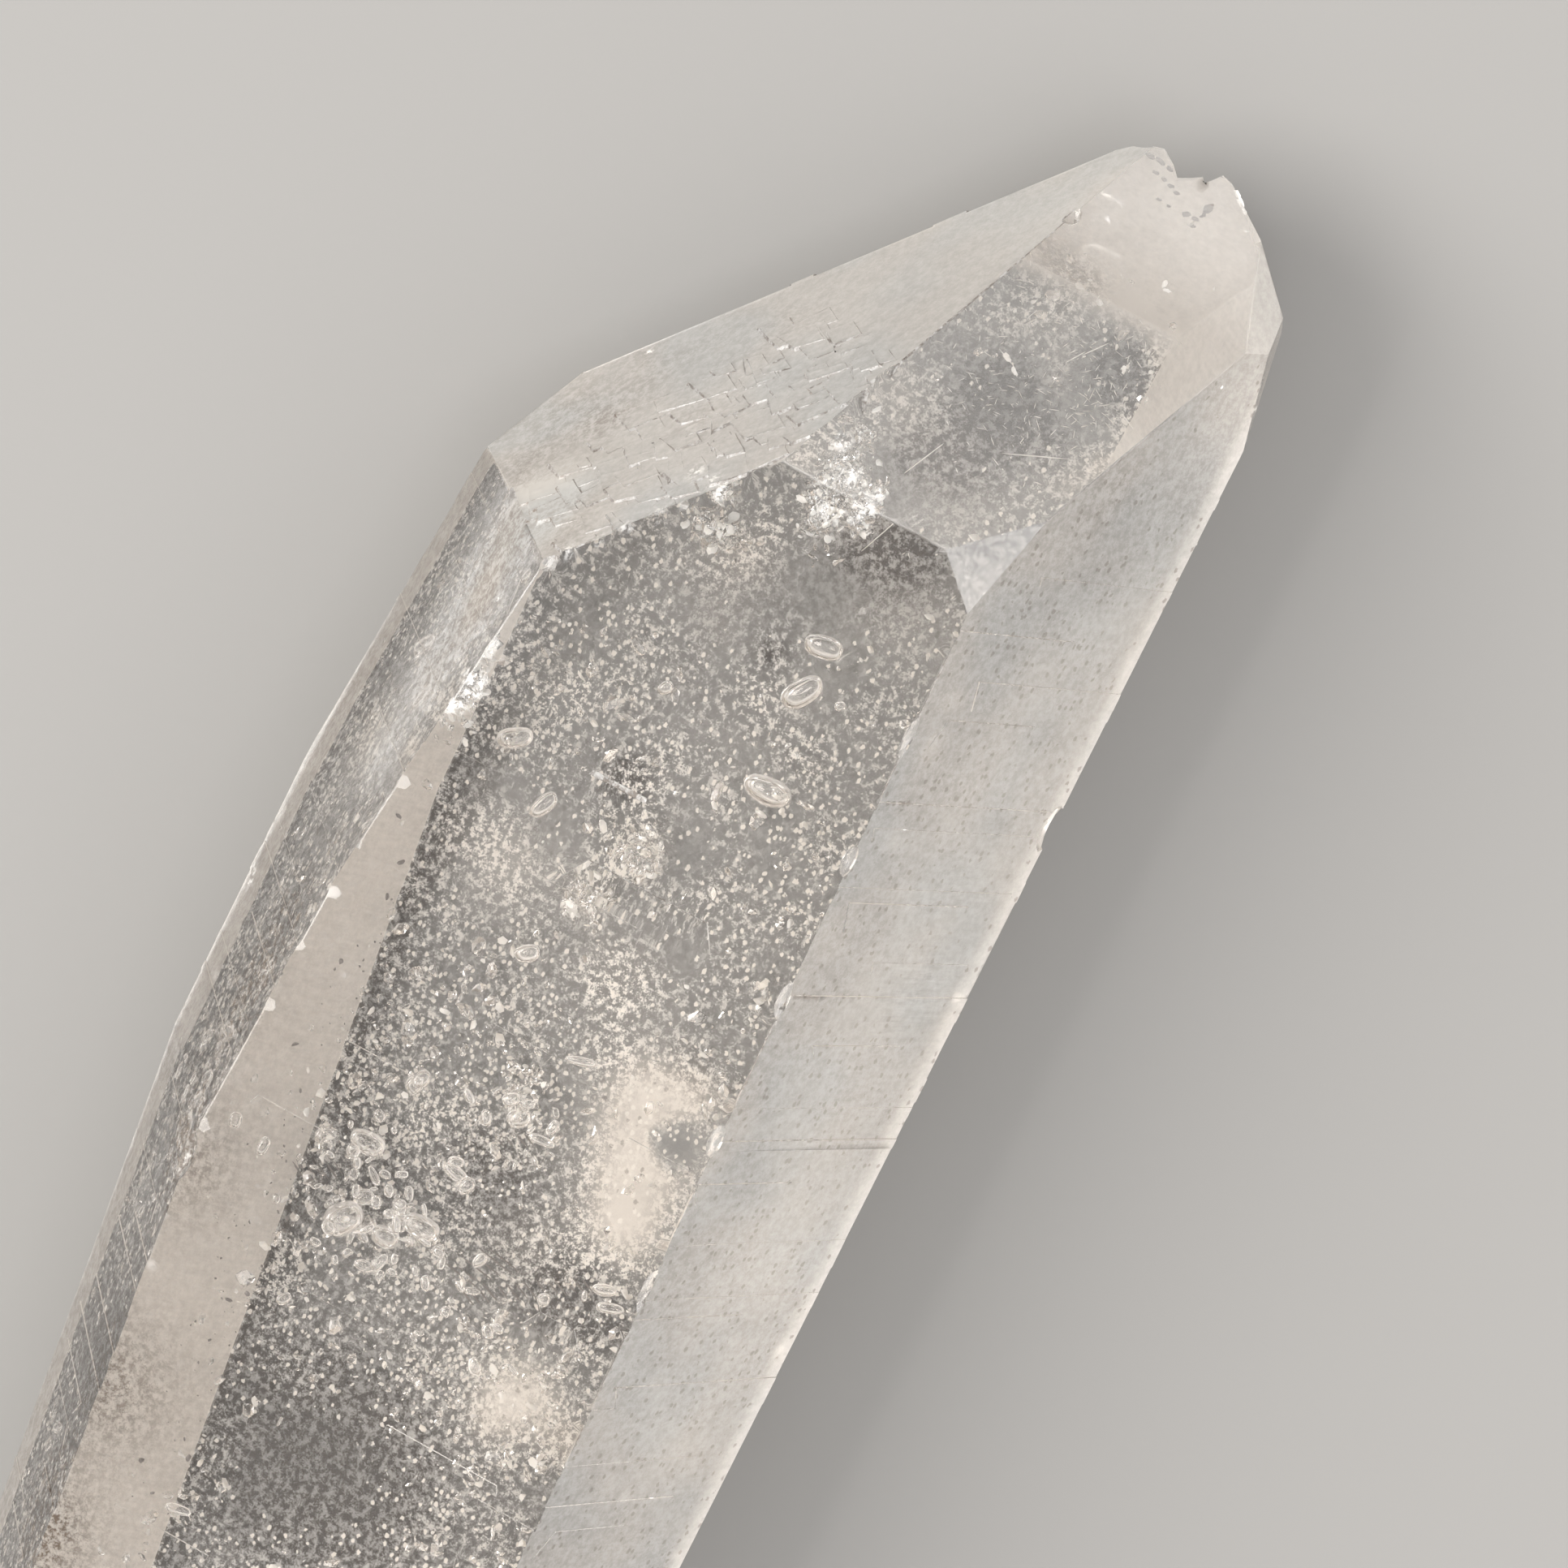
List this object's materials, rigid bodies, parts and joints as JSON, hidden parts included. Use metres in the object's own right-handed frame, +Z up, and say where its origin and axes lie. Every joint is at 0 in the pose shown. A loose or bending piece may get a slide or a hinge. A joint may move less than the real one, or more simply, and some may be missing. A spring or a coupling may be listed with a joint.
{
  "type": "double terminated quartz crystal",
  "caption": "Clear, flattened six-sided quartz crystal with a faceted point at each end, lying on one of its long prism faces.",
  "frame": {"origin": "on the resting face, directly below the middle of the crystal's box", "axes": "+X along the crystal's long axis towards the broken, pictured point, +Z up from the face it lies on, +Y to the left seen from the far point"},
  "size_m": [0.0844, 0.0242, 0.015],
  "materials": {
    "clear_quartz": "clear natural crystal with glassy faces, fine growth lines, frosted patches and small bright inclusions"
  },
  "bodies": {
    "root": {"quartz_crystal": "clear_quartz"}
  },
  "joints": []
}
